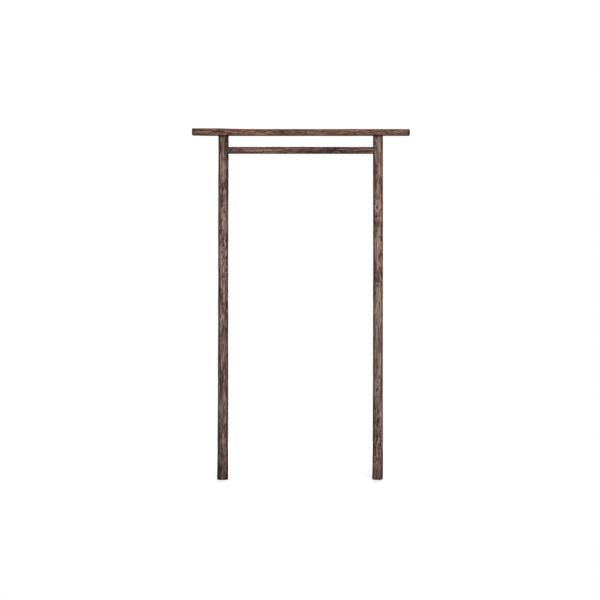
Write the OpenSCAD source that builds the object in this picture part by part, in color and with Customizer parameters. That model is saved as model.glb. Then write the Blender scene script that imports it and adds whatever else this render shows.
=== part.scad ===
// Garden torii gate: two round log posts, a flat lintel seated on their heads
// and a round tie rail let into them just below it.
//
// The origin is the centre of the left post's foot. +X runs along the gate to
// the right post, -Y is the front and +Z is up. Sizes are in millimetres.

/* [Gate] */
// Distance between the centres of the two posts
post_pitch = 1062; // [850:1:1600]
// Height from the feet to the top of the lintel's level part
gate_height = 2400; // [1700:1:2900]

/* [Left post] */
// Diameter of the left log over its middle
left_post_d = 70; // [62:0.5:90]
// How much wider the left log is at its foot
left_butt_swell = 6.4; // [0:0.1:12]
// How much slimmer the left log is at the tie rail
left_neck_slim = 2; // [0:0.1:4]
// How much the left log widens again from the tie rail to its head
left_head_swell = 4.4; // [0:0.1:6]
// Bevel around the edge of the left foot
left_foot_bevel = 3; // [1:0.5:10]

/* [Right post] */
// Diameter of the right log over its middle
right_post_d = 67.6; // [62:0.1:90]
// How much wider the right log is at its foot
right_butt_swell = 6; // [0:0.1:12]
// How much slimmer the right log is at the tie rail
right_neck_slim = 0.2; // [0:0.1:4]
// How much the right log widens again from the tie rail to its head
right_head_swell = 0.8; // [0:0.1:6]
// Bevel around the edge of the right foot
right_foot_bevel = 7; // [1:0.5:10]

/* [Post ends] */
// Height over which the swelling of the foot dies out
butt_h = 700; // [300:1:1000]
// Diameter of the stub tenon on each post head
tenon_d = 35; // [25:0.5:45]
// Length of the stub tenon
tenon_l = 25; // [10:0.5:28]
// Bevel around the end of the stub tenon
tenon_bevel = 2; // [0.5:0.5:4]

/* [Lintel] */
// Thickness of the lintel
lintel_t = 40; // [32:0.5:60]
// Depth of the lintel from front to back
lintel_depth = 75; // [60:0.5:110]
// How far the lintel runs past the left post's centre
left_overhang = 212; // [100:1:350]
// How far the lintel runs past the right post's centre
right_overhang = 217; // [100:1:350]
// How far the top of the lintel's left end sweeps up
sweep_top = 5.4; // [0:0.2:12]
// How far the underside of the lintel's left end sweeps up
sweep_under = 2.5; // [0:0.5:6]
// How far inside the left post's centre the top starts to sweep up
sweep_start = 220; // [100:1:400]
// How far past the left post's centre the top has swept up
sweep_end = 70; // [0:1:190]
// Bevel on the upright corners of the lintel's left end
left_corner_bevel = 6; // [1:0.5:12]
// Bevel on the upright corners of the lintel's right end
right_corner_bevel = 9; // [1:0.5:12]
// Bevel on the level edges of the lintel's left end
left_edge_bevel = 2; // [0.5:0.5:8]
// Bevel on the level edges of the lintel's right end
right_edge_bevel = 5; // [0.5:0.5:8]

/* [Tie rail] */
// Diameter of the tie rail
rail_d = 47.5; // [38:0.5:58]
// Distance from the lintel's underside down to the tie rail's axis
rail_drop = 102.5; // [70:0.5:200]
// How deep the tie rail's ends are let into the posts
rail_housing = 20; // [12:0.5:24]
// Bevel on the tie rail's ends
rail_bevel = 1.5; // [0.5:0.5:3]

/* [Screws] */
// Diameter of the screw heads
screw_head_d = 10; // [8:0.5:12]
// Height of a screw's conical head
screw_head_h = 4; // [3:0.5:6]
// Thickness of the rim at the edge of a screw head
screw_rim = 0.8; // [0.4:0.1:1.5]
// Diameter of the screw shanks
screw_shank_d = 5; // [4:0.5:6]
// Length of a screw's point
screw_point_l = 8; // [5:0.5:10]
// Length of the screws that hold the tie rail
rail_screw_l = 90; // [75:1:95]
// Distance from the left post's side to the middle of its tie rail screw
left_rail_screw_setback = 29.5; // [20:0.5:32]
// Distance from the right post's side to the middle of its tie rail screw
right_rail_screw_setback = 27; // [20:0.5:32]
// How deep the middle of the left tie rail screw's head lies in the rail
left_rail_screw_sink = -1.5; // [-2:0.1:4]
// How deep the middle of the right tie rail screw's head lies in the rail
right_rail_screw_sink = 0.5; // [-2:0.1:4]
// Slope of the tie rail screws below the level
rail_screw_slope = 45; // [42:1:48]
// Length of the screws that hold the lintel
lintel_screw_l = 75; // [60:1:90]
// How deep the lintel screws' heads lie below the lintel's top
lintel_screw_sink = 1; // [0.5:0.1:3]

/* [Fits] */
// Clearance around a tenon in its mortise and around the tie rail in its housing
wood_fit = 0.3; // [0.2:0.05:0.8]
// Space left beyond the end of a tenon and of the tie rail
end_gap = 1; // [0.5:0.1:2]
// Clearance around the screws
screw_fit = 0.1; // [0.05:0.05:0.3]

/* [Hidden] */
$fn = 64;
// Colours of the stained wood and of the screws
left_wood = [0.42, 0.35, 0.31];
right_wood = [0.46, 0.38, 0.34];
lintel_wood = [0.44, 0.33, 0.28];
rail_wood = [0.38, 0.29, 0.26];
screw_steel = [0.20, 0.17, 0.15];
// Number of straight steps in a swept or swollen outline
curve_steps = 8;
// Radius of a screw's point
point_r = 0.5;
// Length by which a cut runs past the face that it opens
overcut = 20;
// Height of the lintel's underside over the posts
shoulder_z = gate_height - lintel_t;
// Height of the tie rail's axis
rail_z = shoulder_z - rail_drop;
// Radius of each log at the tie rail
left_neck_r = (left_post_d - left_neck_slim) / 2;
right_neck_r = (right_post_d - right_neck_slim) / 2;
// Where the tie rail starts, measured from the left post's centre
rail_start = left_neck_r - rail_housing;
// Length of the tie rail
rail_l = post_pitch - rail_start - right_neck_r + rail_housing;
// Where the underside starts to sweep up: the outer edge of the left head
under_run = (left_post_d - left_neck_slim + left_head_swell) / 2;

// Height of the lintel's top at x
function lintel_top(x) =
    let (t = max(0, min(1, (sweep_start - x) / (sweep_start + sweep_end))))
    gate_height + sweep_top * t * t * (3 - 2 * t);

// Height of the lintel's underside at x
function lintel_under(x) =
    shoulder_z + sweep_under * pow(max(0, (-under_run - x) / (left_overhang - under_run)), 2);

// Outline of a log post from the middle of its foot to the middle of its tenon
function post_outline(d, butt_swell, neck_slim, head_swell, foot_bevel) =
    let (
        foot_r = (d + butt_swell) / 2,
        neck_r = (d - neck_slim) / 2,
        head_r = neck_r + head_swell / 2,
        tenon_r = tenon_d / 2,
        tenon_top = shoulder_z + tenon_l
    )
    concat(
        [[0, 0], [foot_r - foot_bevel, 0]],
        [
            for (i = [0:curve_steps])
                let (t = i / curve_steps)
                [d / 2 + butt_swell / 2 * pow(1 - t, 2), foot_bevel + t * (butt_h - foot_bevel)]
        ],
        [
            [neck_r, rail_z],
            [head_r, shoulder_z],
            [tenon_r, shoulder_z],
            [tenon_r, tenon_top - tenon_bevel],
            [tenon_r - tenon_bevel, tenon_top],
            [0, tenon_top],
        ]
    );

// Front outline of the lintel: along the top from the right, then back underneath
function lintel_outline() =
    let (
        left = -left_overhang,
        right = post_pitch + right_overhang,
        left_edge = left + left_edge_bevel
    )
    concat(
        [
            [right, shoulder_z + right_edge_bevel],
            [right, gate_height - right_edge_bevel],
            [right - right_edge_bevel, gate_height],
        ],
        [
            for (i = [0:curve_steps])
                let (x = sweep_start - i / curve_steps * (sweep_start + sweep_end))
                [x, lintel_top(x)]
        ],
        [
            [left_edge, lintel_top(left)],
            [left, lintel_top(left) - left_edge_bevel],
            [left, lintel_under(left) + left_edge_bevel],
        ],
        [
            for (i = [0:curve_steps])
                let (x = left_edge + i / curve_steps * (-under_run - left_edge))
                [x, lintel_under(x)]
        ],
        [[right - right_edge_bevel, shoulder_z]]
    );

// Screw along -Z with the top of its head at the origin
module wood_screw(length) {
    head_r = screw_head_d / 2;
    shank_r = screw_shank_d / 2;
    rotate_extrude()
        polygon([
            [0, 0],
            [head_r, 0],
            [head_r, -screw_rim],
            [shank_r, -screw_head_h],
            [shank_r, -length + screw_point_l],
            [point_r, -length],
            [0, -length],
        ]);
}

// Hole that the same screw fills, open above its head
module screw_hole(length) {
    head_r = screw_head_d / 2 + screw_fit;
    shank_r = screw_shank_d / 2 + screw_fit;
    rotate_extrude()
        polygon([
            [0, overcut],
            [head_r, overcut],
            [head_r, -screw_rim - screw_fit],
            [shank_r, -screw_head_h - screw_fit],
            [shank_r, -length - screw_fit],
            [0, -length - screw_fit],
        ]);
}

// Turns a thing drawn at the left post round to the same place at the right post
module at_right_post() {
    translate([post_pitch, 0, 0])
        mirror([1, 0, 0])
            children();
}

// Places a screw at the tie rail's top, sloping down into the post
module at_rail_screw(neck_r, setback, sink) {
    translate([neck_r + setback, 0, rail_z + rail_d / 2])
        rotate([0, rail_screw_slope, 0])
            translate([0, 0, -sink])
                children();
}

// Places the left tie rail screw
module at_left_rail_screw() {
    at_rail_screw(left_neck_r, left_rail_screw_setback, left_rail_screw_sink)
        children();
}

// Places the right tie rail screw
module at_right_rail_screw() {
    at_right_post()
        at_rail_screw(right_neck_r, right_rail_screw_setback, right_rail_screw_sink)
            children();
}

// Places a screw upright in the lintel's top over a post
module at_lintel_screw(x) {
    translate([x, 0, lintel_top(x) - lintel_screw_sink])
        children();
}

// Blind housing for the end of the tie rail
module rail_housing_cut(neck_r) {
    translate([neck_r - rail_housing - end_gap, 0, rail_z])
        rotate([0, 90, 0])
            cylinder(d = rail_d + 2 * wood_fit, h = rail_housing + end_gap + overcut);
}

// Blind mortise for a post's stub tenon
module mortise_cut(x) {
    translate([x, 0, shoulder_z - overcut])
        cylinder(d = tenon_d + 2 * wood_fit, h = tenon_l + end_gap + overcut);
}

module left_post() {
    color(left_wood)
        difference() {
            rotate_extrude()
                polygon(post_outline(
                    left_post_d, left_butt_swell, left_neck_slim, left_head_swell, left_foot_bevel
                ));
            rail_housing_cut(left_neck_r);
            at_left_rail_screw() screw_hole(rail_screw_l);
            at_lintel_screw(0) screw_hole(lintel_screw_l);
        }
}

module right_post() {
    color(right_wood)
        difference() {
            at_right_post()
                difference() {
                    rotate_extrude()
                        polygon(post_outline(
                            right_post_d, right_butt_swell, right_neck_slim, right_head_swell,
                            right_foot_bevel
                        ));
                    rail_housing_cut(right_neck_r);
                }
            at_right_rail_screw() screw_hole(rail_screw_l);
            at_lintel_screw(post_pitch) screw_hole(lintel_screw_l);
        }
}

module lintel() {
    half_depth = lintel_depth / 2;
    left = -left_overhang;
    right = post_pitch + right_overhang;
    color(lintel_wood)
        difference() {
            intersection() {
                translate([0, half_depth, 0])
                    rotate([90, 0, 0])
                        linear_extrude(lintel_depth)
                            polygon(lintel_outline());
                translate([0, 0, shoulder_z - overcut])
                    linear_extrude(lintel_t + sweep_top + 2 * overcut)
                        polygon([
                            [left + left_corner_bevel, -half_depth],
                            [right - right_corner_bevel, -half_depth],
                            [right, -half_depth + right_corner_bevel],
                            [right, half_depth - right_corner_bevel],
                            [right - right_corner_bevel, half_depth],
                            [left + left_corner_bevel, half_depth],
                            [left, half_depth - left_corner_bevel],
                            [left, -half_depth + left_corner_bevel],
                        ]);
            }
            for (x = [0, post_pitch]) {
                mortise_cut(x);
                at_lintel_screw(x) screw_hole(lintel_screw_l);
            }
        }
}

module tie_rail() {
    r = rail_d / 2;
    color(rail_wood)
        difference() {
            translate([rail_start, 0, rail_z])
                rotate([0, 90, 0])
                    rotate_extrude()
                        polygon([
                            [0, 0],
                            [r - rail_bevel, 0],
                            [r, rail_bevel],
                            [r, rail_l - rail_bevel],
                            [r - rail_bevel, rail_l],
                            [0, rail_l],
                        ]);
            at_left_rail_screw() screw_hole(rail_screw_l);
            at_right_rail_screw() screw_hole(rail_screw_l);
        }
}

module left_rail_screw() {
    color(screw_steel)
        at_left_rail_screw() wood_screw(rail_screw_l);
}

module right_rail_screw() {
    color(screw_steel)
        at_right_rail_screw() wood_screw(rail_screw_l);
}

module left_lintel_screw() {
    color(screw_steel)
        at_lintel_screw(0) wood_screw(lintel_screw_l);
}

module right_lintel_screw() {
    color(screw_steel)
        at_lintel_screw(post_pitch) wood_screw(lintel_screw_l);
}

left_post();
right_post();
lintel();
tie_rail();
left_rail_screw();
right_rail_screw();
left_lintel_screw();
right_lintel_screw();
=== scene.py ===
"""Garden torii gate in scorched, brushed and stained cedar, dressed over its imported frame.

Lengths are in metres in the frame's own axes: +X runs along the gate to the right
post, -Y is the front and +Z is up, from the middle of the left post's foot.
"""

import logging
import math
from dataclasses import dataclass
from enum import Enum
from typing import Any, Mapping, Optional, Sequence, Union

import bpy
import numpy as np
from mathutils import Matrix, Vector


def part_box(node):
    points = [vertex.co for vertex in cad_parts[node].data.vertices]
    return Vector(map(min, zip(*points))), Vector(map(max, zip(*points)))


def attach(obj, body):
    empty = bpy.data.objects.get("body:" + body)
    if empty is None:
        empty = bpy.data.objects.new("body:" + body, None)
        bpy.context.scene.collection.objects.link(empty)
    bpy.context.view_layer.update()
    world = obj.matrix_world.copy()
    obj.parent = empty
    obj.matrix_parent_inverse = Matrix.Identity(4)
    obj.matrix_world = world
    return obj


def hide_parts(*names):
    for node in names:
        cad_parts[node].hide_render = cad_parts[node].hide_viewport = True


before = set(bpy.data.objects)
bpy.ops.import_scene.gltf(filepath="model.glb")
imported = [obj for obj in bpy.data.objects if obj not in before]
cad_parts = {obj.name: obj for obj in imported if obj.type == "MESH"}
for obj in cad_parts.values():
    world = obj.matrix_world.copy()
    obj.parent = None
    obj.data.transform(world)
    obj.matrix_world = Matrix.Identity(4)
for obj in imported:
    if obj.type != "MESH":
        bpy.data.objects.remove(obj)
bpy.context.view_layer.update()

LOG = logging.getLogger("torii_gate")
BODY = "root"
MAP_NAME = "OFBake"
MILLIMETRE = 0.001
FULL_TURN = 2 * math.pi

Colour = tuple[float, float, float]
Number = Union["Signal", float]


# ---------------- node trees


class Signal:
    """A number that varies over a piece, with the arithmetic to combine it."""

    def __init__(self, bench: "Bench", socket: bpy.types.NodeSocket) -> None:
        """Wrap an output of one of the bench's nodes."""
        self.bench = bench
        self.socket = socket

    def __add__(self, other: Number) -> "Signal":
        """Return the sum."""
        return self.bench.maths("ADD", self, other)

    def __sub__(self, other: Number) -> "Signal":
        """Return the difference."""
        return self.bench.maths("SUBTRACT", self, other)

    def __rsub__(self, other: Number) -> "Signal":
        """Return the difference with a plain number first."""
        return self.bench.maths("SUBTRACT", other, self)

    def __mul__(self, other: Number) -> "Signal":
        """Return the product."""
        return self.bench.maths("MULTIPLY", self, other)

    def __truediv__(self, other: Number) -> "Signal":
        """Return the quotient."""
        return self.bench.maths("DIVIDE", self, other)

    def __rtruediv__(self, other: Number) -> "Signal":
        """Return the quotient of a plain number by this one."""
        return self.bench.maths("DIVIDE", other, self)

    __radd__ = __add__
    __rmul__ = __mul__

    def __abs__(self) -> "Signal":
        """Return the size without its sign."""
        return self.bench.maths("ABSOLUTE", self)

    def fract(self) -> "Signal":
        """Return what is left above the whole number below."""
        return self.bench.maths("FRACT", self)

    def cosine(self) -> "Signal":
        """Return the cosine of this angle in radians."""
        return self.bench.maths("COSINE", self)

    def root(self) -> "Signal":
        """Return the square root."""
        return self.bench.maths("SQRT", self)

    def bell(self, width: float) -> "Signal":
        """Return a smooth hump: 1 where this is 0, and about a third at width."""
        return self.bench.maths("EXPONENT", self * self * (-1 / width**2))

    def most(self, other: Number) -> "Signal":
        """Return the larger of the two."""
        return self.bench.maths("MAXIMUM", self, other)

    def rise(self, start: float, end: float) -> "Signal":
        """Return a smooth step from 0 at start to 1 at end; end may be the lower one.

        Args:
            start: Where the step leaves 0.
            end: Where it reaches 1.

        Returns:
            The step.
        """
        low, high, first, last = (start, end, 0.0, 1.0) if start < end else (end, start, 1.0, 0.0)
        stepped = self.bench.node(
            "ShaderNodeMapRange",
            {"interpolation_type": "SMOOTHSTEP"},
            {"Value": self, "From Min": low, "From Max": high, "To Min": first, "To Max": last},
        )
        return Signal(self.bench, stepped.outputs["Result"])


class Bench:
    """Places and wires nodes in one tree, of a material, a relief or the backdrop."""

    def __init__(self, tree: bpy.types.NodeTree) -> None:
        """Take over a node tree."""
        self.tree = tree

    def node(
        self,
        kind: str,
        settings: Optional[Mapping[str, Any]] = None,
        inputs: Optional[Mapping[Union[str, int], Any]] = None,
    ) -> bpy.types.Node:
        """Place one node, set it up, then feed its sockets.

        Args:
            kind: The node's type.
            settings: Its properties; "stops" lists a ramp's (position, colour) pairs.
            inputs: A value, a Signal or an output for each socket's identifier, name or place.

        Returns:
            The new node.
        """
        placed = self.tree.nodes.new(kind)
        for name, value in (settings or {}).items():
            if name == "stops":
                self._set_stops(placed.color_ramp.elements, value)
            else:
                setattr(placed, name, value)
        for key, value in (inputs or {}).items():
            self._feed(self._socket(placed, key), value)
        return placed

    def maths(self, operation: str, *operands: Number) -> Signal:
        """Add one Math node with its inputs in order, and return its result."""
        placed = self.node("ShaderNodeMath", {"operation": operation}, dict(enumerate(operands)))
        return Signal(self, placed.outputs[0])

    def vector(self, operation: str, *operands: Any) -> bpy.types.NodeSocket:
        """Add one Vector Math node.

        Args:
            operation: The node's operation.
            operands: Its inputs, in order.

        Returns:
            Its vector output.
        """
        inputs = dict(enumerate(operands))
        placed = self.node("ShaderNodeVectorMath", {"operation": operation}, inputs)
        return placed.outputs["Vector"]

    def length(self, vector: bpy.types.NodeSocket) -> Signal:
        """Return the length of a vector."""
        placed = self.node("ShaderNodeVectorMath", {"operation": "LENGTH"}, {0: vector})
        return Signal(self, placed.outputs["Value"])

    def scaled(self, vector: bpy.types.NodeSocket, by: Number) -> bpy.types.NodeSocket:
        """Return a vector made longer or shorter."""
        placed = self.node(
            "ShaderNodeVectorMath", {"operation": "SCALE"}, {0: vector, "Scale": by}
        )
        return placed.outputs["Vector"]

    def parts(self, vector: bpy.types.NodeSocket) -> tuple[Signal, Signal, Signal]:
        """Return the three numbers of a vector."""
        split = self.node("ShaderNodeSeparateXYZ", None, {0: vector})
        return tuple(Signal(self, split.outputs[axis]) for axis in "XYZ")

    def join(self, x: Number, y: Number, z: Number) -> bpy.types.NodeSocket:
        """Return a vector made of three numbers."""
        return self.node("ShaderNodeCombineXYZ", None, {"X": x, "Y": y, "Z": z}).outputs[0]

    def blend(self, first: Any, second: Any, share: Number) -> bpy.types.NodeSocket:
        """Mix two colours: the first shows where share is 0, the second where it is 1."""
        return self._mix("MIX", first, second, share)

    def stain(self, first: Any, second: Any, share: Number) -> bpy.types.NodeSocket:
        """Multiply a colour by another, as far as share says."""
        return self._mix("MULTIPLY", first, second, share)

    def ramp(self, value: Number, stops: Sequence[tuple[float, Colour]]) -> bpy.types.NodeSocket:
        """Turn a number from 0 to 1 into a colour, given the colours at some positions."""
        placed = self.node("ShaderNodeValToRGB", {"stops": stops}, {"Fac": value})
        return placed.outputs["Color"]

    def bump(self, height: Signal, strength: float, depth: float) -> bpy.types.NodeSocket:
        """Return a normal roughened by a height of that depth."""
        inputs = {"Strength": strength, "Distance": depth, "Height": height}
        return self.node("ShaderNodeBump", None, inputs).outputs["Normal"]

    def surface(self, inputs: Mapping[str, Any]) -> None:
        """Finish a material with one shader that has these inputs."""
        shader = self.node("ShaderNodeBsdfPrincipled", None, inputs)
        self.node("ShaderNodeOutputMaterial", None, {"Surface": shader.outputs["BSDF"]})

    def _mix(self, way: str, first: Any, second: Any, share: Number) -> bpy.types.NodeSocket:
        """Add one Mix node for colours and return its result."""
        placed = self.node(
            "ShaderNodeMix",
            {"data_type": "RGBA", "blend_type": way, "clamp_factor": True},
            {
                "Factor_Float": share,
                "A_Color": self._opaque(first),
                "B_Color": self._opaque(second),
            },
        )
        return next(out for out in placed.outputs if out.identifier == "Result_Color")

    def _feed(self, socket: bpy.types.NodeSocket, value: Any) -> None:
        """Link a socket to a signal or an output, or give it a plain value."""
        if isinstance(value, Signal):
            self.tree.links.new(value.socket, socket)
        elif isinstance(value, bpy.types.NodeSocket):
            self.tree.links.new(value, socket)
        else:
            socket.default_value = value

    @staticmethod
    def _socket(node: bpy.types.Node, key: Union[str, int]) -> bpy.types.NodeSocket:
        """Return a node's input by its place, its identifier or its name.

        Args:
            node: The node.
            key: The input's place, identifier or name.

        Returns:
            The input.
        """
        if isinstance(key, int):
            return node.inputs[key]
        for socket in node.inputs:
            if socket.identifier == key:
                return socket
        return node.inputs[key]

    @staticmethod
    def _opaque(colour: Any) -> Any:
        """Return a plain colour with its alpha, or an output as it is."""
        return (*colour, 1.0) if isinstance(colour, tuple) else colour

    @staticmethod
    def _set_stops(
        elements: bpy.types.ColorRampElements, stops: Sequence[tuple[float, Colour]]
    ) -> None:
        """Lay out a ramp's stops, from low to high."""
        while len(elements) < len(stops):
            elements.new(1.0)
        for element, (position, colour) in zip(elements, stops):
            element.position = position
            element.color = (*colour, 1.0)


def new_material(name: str) -> tuple[bpy.types.Material, Bench]:
    """Make an empty material.

    Args:
        name: The material's name.

    Returns:
        The material, and the bench for its nodes.
    """
    material = bpy.data.materials.new(name)
    material.use_nodes = True
    material.node_tree.nodes.clear()
    return material, Bench(material.node_tree)


# ---------------- timber


class Run(Enum):
    """Which way the fibres of a piece of timber run."""

    UPRIGHT = "upright"
    LEVEL = "level"


class Layer(Enum):
    """The layers of a timber's figure: number, size across the grain, size along it, detail."""

    STRAY = (1, 0.034, 0.46, 1.0)
    WAVE = (2, 0.013, 0.10, 1.0)
    RIPPLE = (3, 0.0042, 0.030, 1.0)
    CRACK_LINE = (4, 0.024, 0.9, 1.0)
    CRACK_PLACE = (5, 0.05, 0.30, 0.0)
    HOLLOW = (6, 0.05, 0.22, 1.0)
    FIBRE = (7, 0.0009, 0.026, 3.0)
    DASH = (8, 0.0034, 0.038, 2.0)
    STREAK = (9, 0.0085, 0.16, 2.0)
    PATCH = (10, 0.07, 0.42, 2.0)
    LIVELY = (11, 0.06, 0.25, 1.0)
    BLUSH = (12, 0.010, 0.15, 1.0)
    MOSS = (13, 0.011, 0.13, 1.0)
    FLECK = (14, 0.0040, 0.030, 1.5)
    CHILL = (15, 0.008, 0.10, 1.0)
    LINE = (16, 0.0024, 0.10, 2.0)


@dataclass(frozen=True)
class Knot:
    """The stub of a branch where it comes out of the wood.

    Args:
        along: Its distance along the grain, from the timber's heart point.
        bearing: Its direction from the pith, in degrees round the grain.
        width: The width of its dark core.
        dome: How far it lifts the growth rings round it.
        halo: How far its swirl reaches across the grain.
        glow: How much lighter the wood is round it.
    """

    along: float
    bearing: float
    width: float = 0.012
    dome: float = 0.0065
    halo: float = 0.016
    glow: float = 0.12


@dataclass(frozen=True)
class Timber:
    """How the growth rings, knots and drying cracks of one piece of wood lie.

    Args:
        run: The way its fibres run.
        heart: A point on its pith.
        reach: The distance from the pith to its surface, where its knots come out.
        whole_log: True for a whole log, whose skin follows one growth ring.
        seed: A number that sets this piece apart from the others.
        worked: The stretch along the grain that was brushed, from its heart point.
        ring: The width of one growth ring.
        wander: How far the rings stray from true circles.
        ripple: How far they ripple where the wood is lively.
        knots: Its knots.
    """

    run: Run
    heart: tuple[float, float, float]
    reach: float
    whole_log: bool
    seed: float
    worked: tuple[float, float]
    ring: float = 0.0023
    wander: float = 0.0072
    ripple: float = 0.0009
    knots: tuple[Knot, ...] = ()

    def spot_of(self, knot: Knot) -> tuple[float, float, float]:
        """Return where a knot comes out, as (across, across, along) from the heart point."""
        bearing = math.radians(knot.bearing)
        return (self.reach * math.cos(bearing), self.reach * math.sin(bearing), knot.along)


class Figure:
    """The figure of one timber, drawn on a bench: the same on a relief and on a material."""

    WORKED_FADE = 0.008
    KNOT_STRETCH = 2.4
    KNOT_EDGE = (0.56, 0.40)
    LIVELY_RANGE = (-0.05, 0.30)
    CRACK_RANGE = (0.10, 0.22)
    DASH_RANGE = (-0.04, -0.36)
    RING_DARKENS = (0.40, 0.86)
    RING_ENDS = (1.0, 0.93)
    WAVE_SHARE = 0.36
    LEAST_RIPPLE = 0.0004
    SEED_STEP = 7.31
    LAYER_STEPS = (13.7, 2.0)

    def __init__(
        self,
        bench: Bench,
        timber: Timber,
        place: bpy.types.NodeSocket,
        end_grain: Number = 0.0,
    ) -> None:
        """Lay out the coordinates and the growth rings.

        Args:
            bench: The bench to draw on.
            timber: The piece of wood.
            place: The place on the surface, in the frame.
            end_grain: 1 on the faces cut across the grain.
        """
        self.bench = bench
        self.timber = timber
        x, y, z = bench.parts(bench.vector("SUBTRACT", place, timber.heart))
        side, back, self.along = (x, y, z) if timber.run is Run.UPRIGHT else (y, z, x)
        radius = (side * side + back * back).root()
        if timber.whole_log:
            shrink = timber.reach / radius.most(MILLIMETRE)
            side, back = side * shrink, back * shrink
            radius = (radius - timber.reach) * end_grain + timber.reach
        self.spot = bench.join(side, back, self.along)
        self.swirl, self.core = self._knots()
        self.lively = self.noise(Layer.LIVELY).rise(*self.LIVELY_RANGE) + self.swirl
        strayed = self.noise(Layer.STRAY) * timber.wander
        waved = self.noise(Layer.WAVE) * (self.WAVE_SHARE * timber.wander)
        ripple = self.lively * timber.ripple + self.LEAST_RIPPLE
        rippled = self.noise(Layer.RIPPLE) * ripple
        self.rings = (radius + strayed + waved + rippled + self.dome) / timber.ring

    def noise(self, layer: Layer) -> Signal:
        """Return smooth noise, mostly between -0.6 and 0.6, drawn out along the grain.

        Args:
            layer: The layer of the figure that it makes.

        Returns:
            The noise.
        """
        number, across, along, detail = layer.value
        start = self.timber.seed * self.SEED_STEP + number * self.LAYER_STEPS[0]
        stretched = self.bench.vector(
            "MULTIPLY_ADD",
            self.spot,
            (1 / across, 1 / across, 1 / along),
            (start, self.LAYER_STEPS[1] * number, -start),
        )
        cloud = self.bench.node(
            "ShaderNodeTexNoise",
            {"noise_dimensions": "3D"},
            {"Vector": stretched, "Scale": 1.0, "Detail": detail, "Roughness": 0.5},
        )
        return (Signal(self.bench, cloud.outputs[0]) - 0.5) * 2.0

    def ridges(self, offset: float) -> Signal:
        """Return a soft wave along the rings: 1 on each hard ring and 0 midway between."""
        return ((self.rings - offset) * FULL_TURN).cosine() * 0.5 + 0.5

    def latewood(self) -> Signal:
        """Return the dark, hard edge of each ring: it deepens slowly and ends at once."""
        through = self.rings.fract()
        return through.rise(*self.RING_DARKENS) * through.rise(*self.RING_ENDS)

    def cracks(self, width: float) -> Signal:
        """Return the drying cracks of a width: 1 along the middle and 0 past the edge."""
        line = abs(self.noise(Layer.CRACK_LINE)).rise(width, 0.0)
        return line * self.noise(Layer.CRACK_PLACE).rise(*self.CRACK_RANGE)

    def dashes(self) -> Signal:
        """Return the short channels where soft wood was brushed out, from 0 to 1."""
        return self.noise(Layer.DASH).rise(*self.DASH_RANGE)

    def worked(self) -> Signal:
        """Return 1 where the wood was brushed and 0 in its joints.

        Returns:
            How far the brush reached here, from 0 to 1.
        """
        start, end = self.timber.worked
        begun = self.along.rise(start, start + self.WORKED_FADE)
        return begun * self.along.rise(end, end - self.WORKED_FADE)

    def _knots(self) -> tuple[Signal, Signal]:
        """Draw every knot: the swirl round it and its core; also sums its dome and glow.

        Returns:
            The swirls round the knots, and their dark cores.
        """
        swirl = core = dome = glow = self.along * 0.0
        bench = self.bench
        outer, inner = self.KNOT_EDGE
        for knot in self.timber.knots:
            away = bench.vector("SUBTRACT", self.spot, self.timber.spot_of(knot))
            squeezed = bench.vector("MULTIPLY", away, (1.0, 1.0, 1 / self.KNOT_STRETCH))
            distance = bench.length(squeezed)
            hump = distance.bell(knot.halo)
            swirl = hump + swirl
            dome = hump * knot.dome + dome
            glow = hump * knot.glow + glow
            core = distance.rise(knot.width * outer, knot.width * inner) + core
        self.dome, self.glow = dome, glow
        return swirl, core


@dataclass(frozen=True)
class Brushing:
    """How deep the wire brush and the weather have cut a timber.

    Args:
        groove: The depth between two hard rings.
        channel: The depth of the short channels where the wood is lively.
        crack: The depth of a drying crack.
        hollow: The depth of the broad, shallow hollows.
        knot_rise: How far a knot's swirl stands proud.
        knot_sink: How far its core has shrunk back.
        level: How far the brushed surface lies outside the piece's plain shape.
    """

    groove: float = 0.0007
    channel: float = 0.0006
    crack: float = 0.0018
    hollow: float = 0.0008
    knot_rise: float = 0.0010
    knot_sink: float = 0.0010
    level: float = 0.0

    RIDGE = 0.85
    CRACK_WIDTH = 0.055

    def carve(self, piece: bpy.types.Object, timber: Timber) -> None:
        """Cut the relief into a piece's own mesh.

        Args:
            piece: The piece, in the frame.
            timber: The wood it is made of.
        """
        tree = bpy.data.node_groups.new(f"{piece.name}_relief", "GeometryNodeTree")
        for way in ("INPUT", "OUTPUT"):
            tree.interface.new_socket("Geometry", in_out=way, socket_type="NodeSocketGeometry")
        bench = Bench(tree)
        entry = bench.node("NodeGroupInput")
        place = bench.node("GeometryNodeInputPosition").outputs[0]
        outwards = bench.node("GeometryNodeInputNormal").outputs[0]
        height = self._height(Figure(bench, timber, place))
        moved = bench.node(
            "GeometryNodeSetPosition",
            None,
            {"Geometry": entry.outputs[0], "Offset": bench.scaled(outwards, height)},
        )
        bench.node("NodeGroupOutput", None, {0: moved.outputs[0]})
        modifier = piece.modifiers.new("relief", "NODES")
        modifier.node_group = tree

    def _height(self, figure: Figure) -> Signal:
        """Return how far the surface stands out; below 0 it is cut away.

        Args:
            figure: The timber's figure.

        Returns:
            The height of the surface.
        """
        grooves = (0.5 - figure.ridges(self.RIDGE)) * self.groove
        grooves = grooves + figure.dashes() * figure.lively * self.channel
        cracks = figure.cracks(self.CRACK_WIDTH) * self.crack
        hollows = figure.noise(Layer.HOLLOW) * self.hollow
        knots = figure.swirl * self.knot_rise - figure.core * self.knot_sink
        return (knots + self.level - grooves - cracks - hollows) * figure.worked()


# ---------------- finishes


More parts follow.
